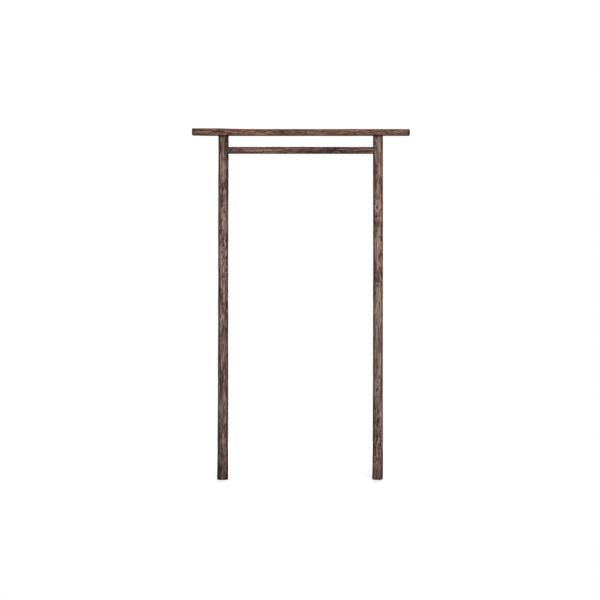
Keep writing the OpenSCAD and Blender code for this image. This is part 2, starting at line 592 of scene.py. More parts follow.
@dataclass(frozen=True)
class ScorchedCedar:
    """Cedar that was scorched, wire-brushed and stained brown.

    Args:
        name: The finish's name.
        char: The black-brown left in cracks and on the hardest rings.
        deep: The dark brown of the hard rings.
        body: The brown of the soft wood between them.
        pale: The greyed brown of worn ridges.
        bright: The tan that shows round some knots.
        blush: The redder tint that comes and goes along the grain.
        moss: The yellower tint that comes and goes along the grain.
        chill: The greyer tint that comes and goes along the grain.
        damp: The tint of a post's foot, where it takes up damp.
        streaks: How strong its long streaks are.
        lines: How strong the fine lines between them are.
        bands: How dark its hard rings are.
        dashes: How dark its short channels are where the wood is lively.
        blushing: How strongly the redder tint shows.
        mossing: How strongly the yellower tint shows.
        chilling: How strongly the greyer tint shows.
        sawn: The tint of the faces cut across the grain.
        side_shade: The painted shade on a post's sides, which darkens them where they face left and
            right.
        top_shade: The painted shade on a level piece's upper side, deepest on the tie rail under the
            lintel.
        shades: How light it is along the grain: the place and the share of the full colour. On the
            posts it darkens towards the foot, and its last stops paint shade on the head under the
            lintel.
        soot_and_shade: Where along the grain each darkening starts and peaks: painted shade on a
            post's head under the lintel, and the lintel's charred ends.
    """

    name: str
    char: Colour = (0.014, 0.008, 0.006)
    deep: Colour = (0.037, 0.021, 0.016)
    body: Colour = (0.120, 0.071, 0.055)
    pale: Colour = (0.234, 0.158, 0.128)
    bright: Colour = (0.430, 0.325, 0.255)
    blush: Colour = (1.17, 0.88, 0.83)
    moss: Colour = (0.98, 1.01, 0.78)
    chill: Colour = (0.86, 0.96, 1.03)
    damp: Colour = (1.0, 0.90, 0.86)
    sawn: Colour = (0.66, 0.60, 0.56)
    side_shade: Colour = (0.42, 0.40, 0.41)
    top_shade: Colour = (0.42, 0.41, 0.42)
    streaks: float = 0.68
    lines: float = 0.34
    bands: float = 0.44
    dashes: float = 0.52
    blushing: float = 0.75
    mossing: float = 0.55
    chilling: float = 0.50
    shades: tuple[tuple[float, float], ...] = ()
    soot_and_shade: tuple[tuple[float, float], ...] = ()

    TONES = (0.0, 0.24, 0.50, 0.76, 1.0)
    END_FACING = (0.45, 0.72)
    SIDE_SHADE_FACING = (0.45, 0.88)
    TOP_SHADE_FACING = (0.42, 0.80)
    SHADES_REACH = 2.4
    DAMP_REACH = (0.40, 0.12)
    SOOT_AND_SHADE = (0.25, 0.22, 0.21)
    CRACK_WIDTH = 0.030
    LIGHTNESS = 0.73
    ROUGHNESS = 0.74
    SHEEN = 0.16
    RELIEF = 0.0007

    def dress(self, timber: Timber) -> bpy.types.Material:
        """Make the material for one timber.

        Args:
            timber: The wood whose figure is drawn.

        Returns:
            The material.
        """
        material, bench = new_material(self.name)
        place = bench.node("ShaderNodeTexCoord").outputs["Object"]
        facing = bench.parts(bench.node("ShaderNodeNewGeometry").outputs["Normal"])
        upright = timber.run is Run.UPRIGHT
        end_grain = abs(facing[2] if upright else facing[0]).rise(*self.END_FACING)
        figure = Figure(bench, timber, place, end_grain)
        late = figure.latewood()
        fibre = figure.noise(Layer.FIBRE)
        dash = figure.dashes()
        fleck = figure.noise(Layer.FLECK)
        crack = figure.cracks(self.CRACK_WIDTH)
        tone = self._tone(figure, late, fibre) + fleck * (figure.lively * 0.50 + 0.26)
        tone = tone - dash * (figure.lively * self.dashes + 0.14)
        colours = (self.char, self.deep, self.body, self.pale, self.bright)
        colour = bench.ramp(tone, tuple(zip(self.TONES, colours)))
        colour = self._tinted(figure, colour)
        colour = bench.blend(colour, self.deep, figure.core * 0.85)
        colour = bench.blend(colour, self.char, crack * 0.9)
        colour = bench.stain(colour, self.sawn, end_grain)
        colour = self._shaded(figure, colour)
        if upright:
            # Painted shade: the post's sides, facing left and right, are darkened.
            colour = bench.stain(colour, self.side_shade, abs(facing[0]).rise(*self.SIDE_SHADE_FACING))
            colour = bench.stain(colour, self.damp, figure.along.rise(*self.DAMP_REACH))
        else:
            # Painted shade: the upper side of a level piece is darkened.
            top_shade_share = facing[2].rise(*self.TOP_SHADE_FACING) * (0.90 + fleck)
            colour = bench.stain(colour, self.top_shade, top_shade_share)
        # Painted shade on a post's head under the lintel; on the lintel, its charred ends.
        for start, end in self.soot_and_shade:
            colour = bench.stain(colour, self.SOOT_AND_SHADE, figure.along.rise(start, end))
        rough = self.ROUGHNESS - late * 0.16 + fleck * 0.08 + crack * 0.15
        cuts = dash * (figure.lively * 0.4 + 0.1) + crack * 1.4 + figure.core * 0.3
        normal = bench.bump(late * 0.5 + fibre * 0.16 - cuts, 0.8, self.RELIEF)
        bench.surface(
            {
                "Base Color": colour,
                "Roughness": rough,
                "Specular IOR Level": self.SHEEN,
                "Normal": normal,
            }
        )
        return material

    def _tone(self, figure: Figure, late: Signal, fibre: Signal) -> Signal:
        """Return how light the wood is, from 0 to 1.

        Args:
            figure: The wood's figure.
            late: The hard edges of its rings.
            fibre: Its fibres.

        Returns:
            The lightness before flecks, tints and stains.
        """
        return (
            self.LIGHTNESS
            + figure.noise(Layer.STREAK) * self.streaks
            + figure.noise(Layer.LINE) * self.lines
            + figure.noise(Layer.PATCH) * 0.12
            + fibre * 0.26
            + figure.glow
            - late * (figure.lively * (0.4 * self.bands) + 0.8 * self.bands)
        )

    def _tinted(self, figure: Figure, colour: bpy.types.NodeSocket) -> bpy.types.NodeSocket:
        """Return a colour with the redder, yellower and greyer tints washed over it.

        Args:
            figure: The timber's figure.
            colour: The colour before them.

        Returns:
            The tinted colour.
        """
        bench = figure.bench
        for tint, layer, start, end, strength in (
            (self.blush, Layer.BLUSH, -0.10, 0.35, self.blushing),
            (self.moss, Layer.MOSS, 0.0, 0.38, self.mossing),
            (self.chill, Layer.CHILL, 0.05, 0.40, self.chilling),
        ):
            share = figure.noise(layer).rise(start, end) * strength
            colour = bench.stain(colour, tint, share)
        return colour

    def _shaded(self, figure: Figure, colour: bpy.types.NodeSocket) -> bpy.types.NodeSocket:
        """Return a colour made darker along the grain as the shades say.

        Args:
            figure: The timber's figure.
            colour: The colour before that.

        Returns:
            The shaded colour.
        """
        if not self.shades:
            return colour
        stops = tuple((spot / self.SHADES_REACH, (share,) * 3) for spot, share in self.shades)
        shade = figure.bench.ramp(figure.along / self.SHADES_REACH, stops)
        return figure.bench.stain(colour, shade, 1.0)


@dataclass(frozen=True)
class BronzedSteel:
    """Steel with a dark bronze coat, rubbed bright in places and rusting in others.

    Args:
        name: The finish's name.
        coat: The colour of the coat.
        rubbed: The steel where the driver has rubbed it.
        rust: The rust that has started in the corners.
    """

    name: str = "bronzed_steel"
    coat: Colour = (0.030, 0.022, 0.017)
    rubbed: Colour = (0.16, 0.135, 0.11)
    rust: Colour = (0.095, 0.036, 0.016)

    GRIT_SCALE, WEAR_SCALE, RUST_SCALE = 900.0, 330.0, 210.0
    WEAR_RANGE, RUST_RANGE = (0.56, 0.68), (0.52, 0.64)
    RELIEF = 0.0002

    def dress(self) -> bpy.types.Material:
        """Make the material.

        Returns:
            The material.
        """
        material, bench = new_material(self.name)
        place = bench.node("ShaderNodeTexCoord").outputs["Object"]
        grit = self._cloud(bench, place, self.GRIT_SCALE)
        worn = self._cloud(bench, place, self.WEAR_SCALE).rise(*self.WEAR_RANGE)
        rusted = self._cloud(bench, place, self.RUST_SCALE).rise(*self.RUST_RANGE)
        colour = bench.blend(self.coat, self.rubbed, worn)
        colour = bench.blend(colour, self.rust, rusted)
        bench.surface(
            {
                "Base Color": colour,
                "Metallic": 0.6 - rusted * 0.5,
                "Roughness": 0.55 + rusted * 0.30 + grit * 0.1,
                "Normal": bench.bump(grit + rusted * grit * 2.0, 0.6, self.RELIEF),
            }
        )
        return material

    @staticmethod
    def _cloud(bench: Bench, place: bpy.types.NodeSocket, scale: float) -> Signal:
        """Return noise from 0 to 1 of that many features to the metre."""
        cloud = bench.node(
            "ShaderNodeTexNoise",
            {"noise_dimensions": "3D"},
            {"Vector": place, "Scale": scale, "Detail": 3.0},
        )
        return Signal(bench, cloud.outputs[0])


# ---------------- shapes


def in_scene(name: str, data: bpy.types.ID) -> bpy.types.Object:
    """Make an object and link it to the scene.

    Args:
        name: The object's name.
        data: Its mesh, light or camera.

    Returns:
        The object, at the frame's origin.
    """
    made = bpy.data.objects.new(name, data)
    bpy.context.scene.collection.objects.link(made)
    return made


@dataclass
class Skin:
    """A closed skin stretched over a stack of closed loops of points.

    Args:
        loops: The loops, each with as many points, from the first end to the last.
        ends: The points that close the first and the last loop.
        caps: How many loops at each end lie on that end's face.
        bands: Into how many bands the side is cut in its flat map.
        room: The part of the flat map it may use: left, bottom, right and top.
    """

    loops: list[np.ndarray]
    ends: tuple[np.ndarray, np.ndarray]
    caps: tuple[int, int]
    bands: int = 2
    room: tuple[float, float, float, float] = (0.0, 0.0, 1.0, 1.0)

    SIDE_TOP = 0.88
    GAP = 0.004
    CAP_POLE = 0.06
    CAP_RADIUS = 0.05
    CAP_CENTRES = ((0.06, 0.945), (0.18, 0.945))

    def piece(self, name: str, material: bpy.types.Material) -> bpy.types.Object:
        """Make the piece's object and link it to the scene.

        Args:
            name: The piece's name.
            material: Its finish.

        Returns:
            The object, at the frame's origin.
        """
        rows, count = len(self.loops), len(self.loops[0])
        points = np.concatenate([*self.loops, self.ends[0][None], self.ends[1][None]])
        row, column = np.meshgrid(np.arange(rows - 1), np.arange(count), indexing="ij")
        beside = (column + 1) % count
        corners = [
            row * count + column,
            row * count + beside,
            (row + 1) * count + beside,
            (row + 1) * count + column,
        ]
        quads = np.stack(corners, axis=-1).reshape(-1, 4)
        around = np.arange(count)
        onwards = (around + 1) % count
        bottom = np.full(count, rows * count)
        last = (rows - 1) * count
        first_fan = np.stack([bottom, onwards, around], axis=-1)
        last_fan = np.stack([bottom + 1, last + around, last + onwards], axis=-1)
        faces = [*quads.tolist(), *first_fan.tolist(), *last_fan.tolist()]
        mesh = bpy.data.meshes.new(name)
        mesh.from_pydata(points.tolist(), [], faces)
        flat = mesh.uv_layers.new(name=MAP_NAME)
        flat.data.foreach_set("uv", self._flat_map(rows, count).ravel())
        mesh.materials.append(material)
        mesh.shade_smooth()
        return in_scene(name, mesh)

    def _flat_map(self, rows: int, count: int) -> np.ndarray:
        """Lay out the side in bands and each end as a disc.

        Args:
            rows: The number of loops.
            count: The number of points in a loop.

        Returns:
            A place in the flat map for each corner of each face, in the faces' order.
        """
        rises = np.linalg.norm(np.diff(np.array(self.loops), axis=0), axis=2).mean(axis=1)
        travelled = np.concatenate([[0.0], np.cumsum(rises)])
        low, high = self.caps[0], rows - 1 - self.caps[1]
        cuts = np.linspace(travelled[low], travelled[high], self.bands + 1)
        edges = [int(np.abs(travelled - cut).argmin()) for cut in cuts]
        placed = np.zeros((rows - 1, count, 4, 2))
        turn = np.arange(count) / count
        step = 1 / count
        for index in range(rows - 1):
            for corner, (down, right) in enumerate(((0, 0), (0, 1), (1, 1), (1, 0))):
                loop = index + down
                share = turn + right * step
                if index < low:
                    placed[index, :, corner] = self._disc(0, loop, low, travelled, share)
                elif index >= high:
                    placed[index, :, corner] = self._disc(1, loop, high, travelled, share)
                else:
                    band = max(b for b in range(self.bands) if edges[b] <= index)
                    span = travelled[edges[band + 1]] - travelled[edges[band]]
                    up = (travelled[loop] - travelled[edges[band]]) / span
                    placed[index, :, corner, 0] = (
                        band + self.GAP + share * (1 - 2 * self.GAP)
                    ) / self.bands
                    placed[index, :, corner, 1] = self.GAP + up * (self.SIDE_TOP - self.GAP)
        fans = []
        for end, loop, limit in ((0, 0, low), (1, rows - 1, high)):
            here = self._disc(end, loop, limit, travelled, turn)
            there = self._disc(end, loop, limit, travelled, turn + step)
            middle = np.tile(self.CAP_CENTRES[end], (count, 1))
            order = [middle, there, here] if end == 0 else [middle, here, there]
            fans.append(np.stack(order, axis=1).reshape(-1, 2))
        left, bottom, right, top = self.room
        spread = np.array([right - left, top - bottom])
        return np.concatenate([placed.reshape(-1, 2), *fans]) * spread + (left, bottom)

    def _disc(
        self, end: int, loop: int, limit: int, travelled: np.ndarray, share: np.ndarray
    ) -> np.ndarray:
        """Return where one loop of an end's face lies in that end's disc.

        Args:
            end: 0 for the first end, 1 for the last.
            loop: The loop's place in the stack.
            limit: The loop on the end's edge.
            travelled: How far each loop lies from the first.
            share: How far round the loop each point lies, from 0 to 1.

        Returns:
            A place in the flat map for each point.
        """
        total = travelled[limit] if end == 0 else travelled[-1] - travelled[limit]
        total = max(total, MILLIMETRE)
        gone = travelled[loop] if end == 0 else travelled[-1] - travelled[loop]
        reach = self.CAP_RADIUS * (self.CAP_POLE + (1 - self.CAP_POLE) * gone / total)
        angle = FULL_TURN * share
        spot = np.stack([np.cos(angle), np.sin(angle)], axis=-1) * reach
        return spot + np.array(self.CAP_CENTRES[end])


def baked_down(piece: bpy.types.Object, *cutters: bpy.types.Object) -> None:
    """Apply a piece's modifiers to its own mesh, and delete what cut it.

    Args:
        piece: The piece to finish.
        cutters: The objects that its cuts were made with.
    """
    bpy.context.view_layer.update()
    graph = bpy.context.evaluated_depsgraph_get()
    finished = bpy.data.meshes.new_from_object(
        piece.evaluated_get(graph), preserve_all_data_layers=True, depsgraph=graph
    )
    piece.modifiers.clear()
    piece.data = finished
    finished.name = piece.name
    for cutter in cutters:
        bpy.data.objects.remove(cutter, do_unlink=True)


def cut_from(piece: bpy.types.Object, cutter: bpy.types.Object) -> None:
    """Add a cut to a piece, to be made when the piece is baked down.

    Args:
        piece: The piece to cut.
        cutter: The shape of what is taken away.
    """
    modifier = piece.modifiers.new(cutter.name, "BOOLEAN")
    modifier.operation = "DIFFERENCE"
    modifier.solver = "MANIFOLD"
    modifier.object = cutter
    cutter.hide_render = True


def leant(piece: bpy.types.Object, place: Sequence[float], lean: float) -> None:
    """Lean a piece's mesh about the Y axis, in degrees, and move it to its place."""
    turn = Matrix.Rotation(math.radians(lean), 4, "Y")
    piece.data.transform(Matrix.Translation(place) @ turn)


def ring_of(radius: Number, height: float, count: int) -> np.ndarray:
    """Return a level loop of points about the Z axis.

    Args:
        radius: The radius, or one for each point.
        height: The loop's height.
        count: The number of points.

    Returns:
        The points, counterclockwise from above.
    """
    angle = np.arange(count) * (FULL_TURN / count)
    flat = np.full(count, height)
    return np.stack([radius * np.cos(angle), radius * np.sin(angle), flat], axis=-1)


def onto_x(loop: np.ndarray) -> np.ndarray:
    """Turn a loop about the Z axis into the same loop about the X axis."""
    return loop[:, [2, 0, 1]]


def steps(start: float, end: float, pitch: float) -> list[float]:
    """Return even steps between two values, without the first one, about pitch apart."""
    count = max(1, round(abs(end - start) / pitch))
    return [start + (end - start) * (i + 1) / count for i in range(count)]


def reported(piece: bpy.types.Object, node: str) -> None:
    """Hand a piece over to the frame and log it.

    Args:
        piece: The finished piece.
        node: The part of the frame that it stands for.
    """
    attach(piece, BODY)
    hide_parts(node)
    triangles = sum(len(face.vertices) - 2 for face in piece.data.polygons)
    LOG.info("%s stands for %s: %d triangles", piece.name, node, triangles)


@dataclass(frozen=True)
class Bore:
    """A round hole, turned about one line.

    Args:
        name: Its name.
        mouth: The place on its axis that its profile is measured from.
        lean: The lean of its axis from upright about the Y axis, in degrees.
        profile: The radius at each height, from the bottom of the hole up.
        patch: Which of the spare places in the flat map its wall uses.
    """

    name: str
    mouth: tuple[float, float, float]
    lean: float
    profile: tuple[tuple[float, float], ...]
    patch: int

    COUNT = 48
    CAP_SHARE = 0.4
    PATCH_LEFT = 0.26
    PATCH_WIDTH = 0.14
    PATCH_ROOM = 0.13
    PATCH_LOW = 0.895
    PATCH_HIGH = 0.995

    def cut(self, piece: bpy.types.Object) -> bpy.types.Object:
        """Cut the hole into a piece.

        Args:
            piece: The piece to cut.

        Returns:
            The cutter, which is deleted when the piece is baked down.
        """
        low, high = self.profile[0], self.profile[-1]
        first, last = (low[0] * self.CAP_SHARE, low[1]), (high[0] * self.CAP_SHARE, high[1])
        loops = [ring_of(*ring, self.COUNT) for ring in (first, *self.profile, last)]
        ends = (np.array([0.0, 0.0, low[1]]), np.array([0.0, 0.0, high[1]]))
        left = self.PATCH_LEFT + self.patch * self.PATCH_WIDTH
        room = (left, self.PATCH_LOW, left + self.PATCH_ROOM, self.PATCH_HIGH)
        name = f"{piece.name}_{self.name}"
        cutter = Skin(loops, ends, (1, 1), 1, room).piece(name, piece.data.materials[0])
        leant(cutter, self.mouth, self.lean)
        cut_from(piece, cutter)
        return cutter


# ---------------- the gate


@dataclass
class LogPost:
    """One round log post, from its sawn foot to the stub tenon on its head.

    Args:
        node: The part of the frame that it stands for.
        piece_name: The name of the finished piece.
        slot: The record's material slot; not used.
        finish: Its finish.
        timber_seed: Sets its figure apart.
        diameter: The log's diameter over its middle.
        outer_swell: How far the foot swells on its heavy side.
        inner_swell: How far it swells on the other side.
        heavy_side: The bearing of the heavy side, in degrees.
        neck_slim: How much slimmer the log is at the tie rail.
        head_swell: How much it widens again from there to its head.
        foot_round: The rounding of the foot's edge.
        line: The course of its pith: heights, and how far it lies to the side and to the back.
        rail_side: +1 if the tie rail comes in from +X, -1 if from -X.
        knots: The log's knots.
    """

    node: str
    piece_name: str
    slot: str
    finish: ScorchedCedar
    timber_seed: float
    diameter: float
    outer_swell: float
    inner_swell: float
    heavy_side: float
    neck_slim: float
    head_swell: float
    foot_round: float
    line: tuple[tuple[float, ...], tuple[float, ...], tuple[float, ...]]
    rail_side: int
    knots: tuple[Knot, ...]

    COLUMNS = 168
    ROW_PITCH = 0.0045
    SWELL_HEIGHT = 0.70
    UNEVEN = 0.0004
    LOBES = ((3, 4.1), (2, -2.3))
    TRUE_REACH = (0.15, 0.1)
    TENON_RADIUS = 0.0175
    TENON_BEVEL = 0.002
    HEAD_ROUND = 0.0012
    HOUSING_DEPTH = 0.021
    HOUSING_OVERCUT = 0.02
    HOUSING_FIT = 0.0003

    def build(self) -> bpy.types.Object:
        """Build the post with its figure, its relief and its joints.

        Returns:
            The finished post.
        """
        low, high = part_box(self.node)
        self.axis = (low.x + high.x) / 2
        self.tenon_top = high.z
        self.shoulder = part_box("lintel")[0].z
        rail_low, rail_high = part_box("tie_rail")
        self.rail_height = (rail_low.z + rail_high.z) / 2
        self.rail_radius = (rail_high.z - rail_low.z) / 2
        timber = Timber(
            run=Run.UPRIGHT,
            heart=(self.axis, 0.0, 0.0),
            reach=self.diameter / 2,
            whole_log=True,
            seed=self.timber_seed,
            worked=(0.0, self.shoulder - self.HEAD_ROUND),
            knots=self.knots,
        )
        loops, caps = self._loops()
        top = np.array([self.axis, 0.0, self.tenon_top])
        foot = np.array([self.axis, 0.0, 0.0])
        skin = Skin(loops, (foot, top), caps)
        post = skin.piece(self.piece_name, self.finish.dress(timber))
        Brushing().carve(post, timber)
        cutters = [bore.cut(post) for bore in self._bores()]
        baked_down(post, *cutters)
        return post

    def _radius(self, height: float, angle: np.ndarray) -> np.ndarray:
        """Return the log's radius at a height, for each bearing.

        Args:
            height: The height over the foot.
            angle: The bearings.

        Returns:
            A radius for each bearing.
        """
        swell = max(0.0, 1 - height / self.SWELL_HEIGHT) ** 2
        heavy = ((1 + np.cos(angle - math.radians(self.heavy_side))) / 2) ** 2
        foot = swell * (self.inner_swell + (self.outer_swell - self.inner_swell) * heavy)
        upper = max(0.0, height - self.SWELL_HEIGHT) / (self.rail_height - self.SWELL_HEIGHT)
        neck = -self.neck_slim / 2 * min(1.0, upper)
        crown = max(0.0, height - self.rail_height) / (self.shoulder - self.rail_height)
        uneven = self.UNEVEN * sum(np.cos(n * angle + twist * height) for n, twist in self.LOBES)
        near_rail, near_foot = self.TRUE_REACH
        held = min(1.0, abs(self.rail_height - height) / near_rail, height / near_foot)
        return self.diameter / 2 + foot + neck + self.head_swell / 2 * crown + uneven * held

    def _centre(self, height: float) -> np.ndarray:
        """Return the log's own middle at a height: it wanders a little out of true.

        Args:
            height: The height over the foot.

        Returns:
            The middle, at height 0.
        """
        heights, sides, backs = self.line
        degree = len(heights) - 1
        side = np.polyval(np.polyfit(heights, sides, degree), height)
        back = np.polyval(np.polyfit(heights, backs, degree), height)
        return np.array([self.axis + side, back, 0.0])

    def _loops(self) -> tuple[list[np.ndarray], tuple[int, int]]:
        """Stack the loops from the middle of the foot to the middle of the tenon's end.

        Returns:
            The loops, and how many at each end lie on that end's face.
        """
        angle = np.arange(self.COLUMNS) * (FULL_TURN / self.COLUMNS)
        edge = self._radius(self.foot_round, angle)
        loops = []

        def lay(radius: Number, height: float) -> None:
            """Add one loop about the log's own middle."""
            loops.append(ring_of(radius, height, self.COLUMNS) + self._centre(height))

        for share in steps(0.0, 1.0, 0.1):
            lay((edge - self.foot_round) * share, 0.0)
        foot_loops = len(loops) - 1
        for turn in steps(0.0, math.pi / 2, math.pi / 12):
            inset = self.foot_round * (1 - math.sin(turn))
            lay(edge - inset, self.foot_round * (1 - math.cos(turn)))
        for height in steps(self.foot_round, self.shoulder - self.HEAD_ROUND, self.ROW_PITCH):
            lay(self._radius(height, angle), height)
        head = self._radius(self.shoulder, angle)
        side_loops = len(loops)
        for turn in steps(0.0, math.pi / 2, math.pi / 6):
            inset = self.HEAD_ROUND * (1 - math.cos(turn))
            height = self.shoulder - self.HEAD_ROUND * (1 - math.sin(turn))
            lay(head - inset, height)
        inner = self.TENON_RADIUS
        outer = head - self.HEAD_ROUND
        for share in steps(0.0, 1.0, 0.25):
            lay(outer + (inner - outer) * share, self.shoulder)
        for height in steps(self.shoulder, self.tenon_top - self.TENON_BEVEL, 0.005):
            lay(inner, height)
        for share in steps(0.0, 1.0, 0.2):
            lay((inner - self.TENON_BEVEL) * (1.02 - share), self.tenon_top)
        return loops, (foot_loops, len(loops) - side_loops)

    def _bores(self) -> list[Bore]:
        """Return the tie rail's housing and the holes for both screws.

        Returns:
            The holes to cut.
        """
        neck = (self.diameter - self.neck_slim) / 2
        radius = self.rail_radius + self.HOUSING_FIT
        mouth = (self.axis + self.rail_side * neck, 0.0, self.rail_height)
        depth = ((radius, -self.HOUSING_DEPTH), (radius, self.HOUSING_OVERCUT))
        housing = Bore("housing", mouth, 90.0 * self.rail_side, depth, 0)
        rail_screw = self.node.replace("post", "rail_screw")
        lintel_screw = self.node.replace("post", "lintel_screw")
        screws = {screw.node: screw for screw in SCREWS}
        return [housing, screws[rail_screw].bore(1), screws[lintel_screw].bore(2)]


@dataclass
class TieRail:
    """The round rail that ties the posts together under the lintel.

    Args:
        finish: Its finish.
        knots: Its knots.
        bevel: The bevel on its ends.
    """

    finish: ScorchedCedar
    knots: tuple[Knot, ...]
    bevel: float = 0.0015

    NODE = "tie_rail"
    COLUMNS = 144
    ROW_PITCH = 0.0028
    END_RINGS = 8
    HOUSED = 0.021

    def build(self) -> bpy.types.Object:
        """Build the rail with its figure, its relief and its screw holes.

        Returns:
            The finished rail.
        """
        low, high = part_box(self.NODE)
        radius = (high.z - low.z) / 2
        height = (high.z + low.z) / 2
        lift = np.array([0.0, 0.0, height])
        loops = []

        def lay(reach: float, x: float) -> None:
            """Add one loop about the rail's axis."""
            loops.append(onto_x(ring_of(reach, x, self.COLUMNS)) + lift)

        for share in steps(0.0, 1.0, 1 / self.END_RINGS):
            lay((radius - self.bevel) * share, low.x)
        lay(radius, low.x + self.bevel)
        for x in steps(low.x + self.bevel, high.x - self.bevel, self.ROW_PITCH):
            lay(radius, x)
        for share in steps(0.0, 1.0, 1 / self.END_RINGS):
            lay((radius - self.bevel) * (1.1 - share), high.x)
        timber = Timber(
            run=Run.LEVEL,
            heart=(low.x, 0.0, height),
            reach=radius,
            whole_log=True,
            seed=3.0,
            worked=(self.HOUSED, high.x - low.x - self.HOUSED),
            ring=0.0020,
            wander=0.0062,
            knots=self.knots,
        )
        ends = (np.array([low.x, 0.0, height]), np.array([high.x, 0.0, height]))
        caps = (self.END_RINGS - 1, self.END_RINGS)
        rail = Skin(loops, ends, caps).piece("tie_rail_pole", self.finish.dress(timber))
        Brushing(groove=0.0006, hollow=0.0006, level=0.0003).carve(rail, timber)
        cutters = [screw.bore(patch).cut(rail) for patch, screw in enumerate(SCREWS[:2])]
        baked_down(rail, *cutters)
        return rail


@dataclass
class Lintel:
    """The flat lintel that lies on the post heads, its left end sweeping up a little.

    Args:
        finish: Its finish.
        knots: Its knots.
        sweep_top: How far the top of its left end sweeps up.
        sweep_under: How far the underside of its left end sweeps up.
        sweep_start: How far inside the left post's middle the top starts to sweep up.
        sweep_end: How far outside it the top has swept up.
        under_run: How far outside it the underside starts to sweep up.
        corner_bevels: The bevels on the upright corners of its left and right ends.
        edge_bevels: The bevels on the upper edges of its left and right ends.
        under_bevel: The bevel on the lower edges of both ends.
        arris: The rounding of its long edges.
    """

    finish: ScorchedCedar
    knots: tuple[Knot, ...]
    sweep_top: float = 0.0054
    sweep_under: float = 0.0025
    sweep_start: float = 0.220
    sweep_end: float = -0.070
    under_run: float = 0.0362
    corner_bevels: tuple[float, float] = (0.006, 0.009)
    edge_bevels: tuple[float, float] = (0.002, 0.005)
    under_bevel: float = 0.0015
    arris: float = 0.0022

    NODE = "lintel"
    MORTISE_RADIUS = 0.0178
    MORTISE_DEPTH = 0.026
    MORTISE_BELOW = 0.01
    PITH_BACK = 0.094
    PITH_UP = 0.052
    COLUMNS = 248
    ROW_PITCH = 0.0045
    BEVEL_PITCH = 0.0012
    END_RINGS = 20
    END_WORKED = 0.0012

    def build(self) -> bpy.types.Object:
        """Build the lintel with its figure, its relief, its mortises and its screw holes.

        Returns:
            The finished lintel.
        """
        low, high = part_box(self.NODE)
        self.left, self.right = low.x, high.x
        self.half_depth = (high.y - low.y) / 2
        self.underside = low.z
        self.top = high.z - self.sweep_top
        pith = (self.left, self.PITH_BACK, self.underside + self.PITH_UP)
        timber = Timber(
            run=Run.LEVEL,
            heart=pith,
            reach=pith[1] + self.half_depth,
            whole_log=False,
            seed=4.0,
            worked=(-self.END_WORKED, self.right - self.left + self.END_WORKED),
            ring=0.0028,
            wander=0.013,
            knots=self.knots,
        )
        loops = self._loops()
        ends = (loops[0].mean(axis=0), loops[-1].mean(axis=0))
        caps = (self.END_RINGS - 1, self.END_RINGS)
        lintel = Skin(loops, ends, caps).piece("lintel_beam", self.finish.dress(timber))
        brushing = Brushing(groove=0.0006, hollow=0.0004, knot_rise=0.0008, level=-0.0006)
        brushing.carve(lintel, timber)
        cutters = []
        for side, screw in enumerate(SCREWS[2:]):
            ends_at = (-self.MORTISE_BELOW, self.MORTISE_DEPTH)
            tenon = tuple((self.MORTISE_RADIUS, height) for height in ends_at)
            mouth = (screw.place().x, 0.0, self.underside)
            cutters.append(screw.bore(side).cut(lintel))
            cutters.append(Bore(f"mortise_{side}", mouth, 0.0, tenon, side + 2).cut(lintel))
        baked_down(lintel, *cutters)
        return lintel

    def _section(
        self, x: float, inset: tuple[float, float, float] = (0.0, 0.0, 0.0)
    ) -> np.ndarray:
        """Return the lintel's outline at x, as a loop of points.

        Args:
            x: The place along the lintel.
            inset: How far it is drawn in from front and back, from the top and from below.

        Returns:
            The points, evenly spaced round the outline.
        """
        share = (self.sweep_start - x) / (self.sweep_start - self.sweep_end)
        share = min(1.0, max(0.0, share))
        rise = share * share * (3 - 2 * share)
        under = max(0.0, (-self.under_run - x) / (-self.under_run - self.left)) ** 2
        top = self.top + self.sweep_top * rise - inset[1]
        bottom = self.underside + self.sweep_under * under + inset[2]
        half_y, half_z = self.half_depth - inset[0], (top - bottom) / 2
        bend = min(self.arris, half_y * 0.9, half_z * 0.9)
        straights = (2 * (half_z - bend), 2 * (half_y - bend)) * 2
        arc = math.pi / 2 * bend
        total = sum(straights) + 4 * arc
        points = []
        for index in range(self.COLUMNS):
            gone = index / self.COLUMNS * total
            for side, straight in enumerate(straights):
                if gone <= straight + arc:
                    break
                gone -= straight + arc
            turn = side * math.pi / 2
            reach, spread = (half_y, half_z) if side % 2 == 0 else (half_z, half_y)
            if gone <= straight:
                out, over = reach, -spread + bend + gone
            else:
                swept = (gone - straight) / bend
                out = reach - bend * (1 - math.cos(swept))
                over = spread - bend + bend * math.sin(swept)
            across = out * math.cos(turn) - over * math.sin(turn)
            up = out * math.sin(turn) + over * math.cos(turn)
            points.append((x, across, (top + bottom) / 2 + up))
        return np.array(points)

    def _loops(self) -> list[np.ndarray]:
        """Stack the loops from the middle of the left end to the middle of the right one.

        Returns:
            The loops.
        """
        loops = []
        for end, (x, sign) in enumerate(((self.left, 1), (self.right, -1))):
            corner, edge = self.corner_bevels[end], self.edge_bevels[end]
            outline = self._section(x, (corner, edge, self.under_bevel))
            middle = outline.mean(axis=0)
            rings = [middle + (outline - middle) * share for share in steps(0, 1, 1 / self.END_RINGS)]
            for away in steps(0.0, corner, self.BEVEL_PITCH):
                insets = tuple(max(0.0, b - away) for b in (corner, edge, self.under_bevel))
                rings.append(self._section(x + sign * away, insets))
            if end == 0:
                loops += rings
                start, stop = self.left + corner, self.right - self.corner_bevels[1]
                loops += [self._section(along) for along in steps(start, stop, self.ROW_PITCH)]
            else:
                loops += rings[-2::-1]
        return loops


